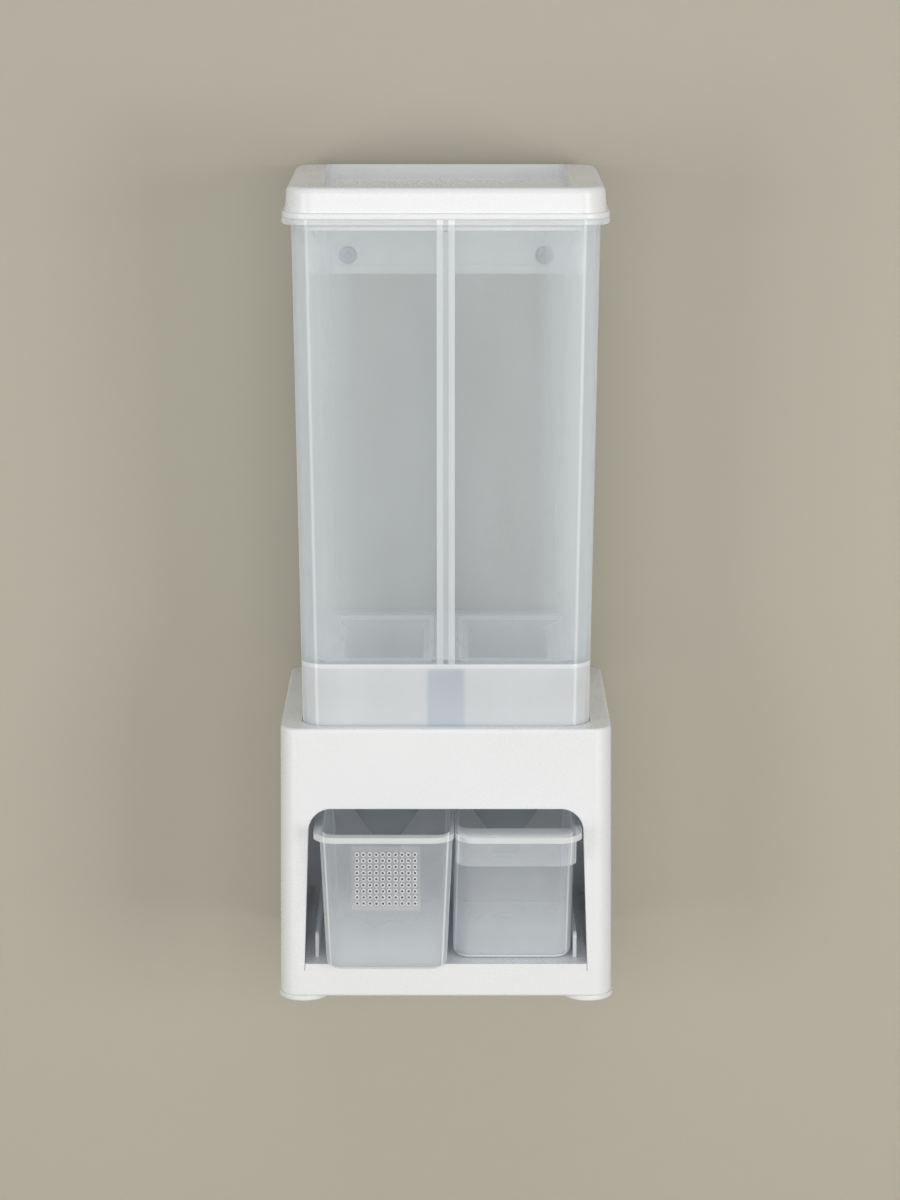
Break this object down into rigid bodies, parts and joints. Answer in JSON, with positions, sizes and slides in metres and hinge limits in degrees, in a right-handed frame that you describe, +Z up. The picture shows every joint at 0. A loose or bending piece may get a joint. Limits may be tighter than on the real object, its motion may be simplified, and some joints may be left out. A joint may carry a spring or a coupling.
{
  "type": "wall-mounted grain dispenser",
  "caption": "Wall-hung dispenser for dry grain: a frosted divided container with a lid stands in a white arched base, over spring-closed gates and pull-out cups.",
  "frame": {"origin": "midway between the two screw holes of the wall bracket, on the wall's face", "axes": "+X to the viewer's right, +Y back into the wall, +Z up; the cups pull out towards -Y"},
  "size_m": [0.172, 0.1594, 0.4165],
  "materials": {
    "white_plastic": "smooth satin-gloss moulded plastic",
    "frosted_plastic": "milky translucent moulded plastic",
    "grey_plastic": "fine satin moulded plastic",
    "steel": "bright drawn wire and turned steel",
    "silicone": "matt silicone"
  },
  "bodies": {
    "frame": {"housing": "white_plastic", "tray": "white_plastic", "feet": "white_plastic", "tray_screws": "steel", "gate_deck": "white_plastic", "deck_screws": "steel", "left_axle": "steel", "right_axle": "steel", "left_axle_clips": "steel", "right_axle_clips": "steel", "left_spring": "steel", "right_spring": "steel", "wall_bracket": "white_plastic"},
    "container": {"container": "frosted_plastic", "divider": "frosted_plastic"},
    "lid": {"lid": "white_plastic", "lid_seal": "silicone"},
    "left_cup": {"left_cup": "frosted_plastic"},
    "right_cup": {"right_cup": "frosted_plastic"},
    "left_gate": {"left_gate_lever": "grey_plastic"},
    "right_gate": {"right_gate_lever": "grey_plastic"}
  },
  "joints": [
    {"name": "container_lift", "type": "slide", "parent": "frame", "child": "container", "axis": [0, 0, 1], "range_m": [0, 0.09]},
    {"name": "lid_lift", "type": "slide", "parent": "container", "child": "lid", "axis": [0, 0, 1], "range_m": [0, 0.06]},
    {"name": "left_cup_slide", "type": "slide", "parent": "frame", "child": "left_cup", "axis": [0, -1, 0], "range_m": [-0.0042, 0.13]},
    {"name": "right_cup_slide", "type": "slide", "parent": "frame", "child": "right_cup", "axis": [0, -1, 0], "range_m": [-0.0042, 0.13]},
    {"name": "left_gate_swing", "type": "hinge", "parent": "frame", "child": "left_gate", "pos_m": [-0.0321, -0.025, -0.2484], "axis": [1, 0, 0], "range_deg": [0, 12], "stiffness_Nm_per_rad": 0.03, "springref_deg": -20.05, "deforming": ["left_spring"]},
    {"name": "right_gate_swing", "type": "hinge", "parent": "frame", "child": "right_gate", "pos_m": [0.0321, -0.025, -0.2484], "axis": [1, 0, 0], "range_deg": [0, 12], "stiffness_Nm_per_rad": 0.03, "springref_deg": -20.05, "deforming": ["right_spring"]}
  ]
}
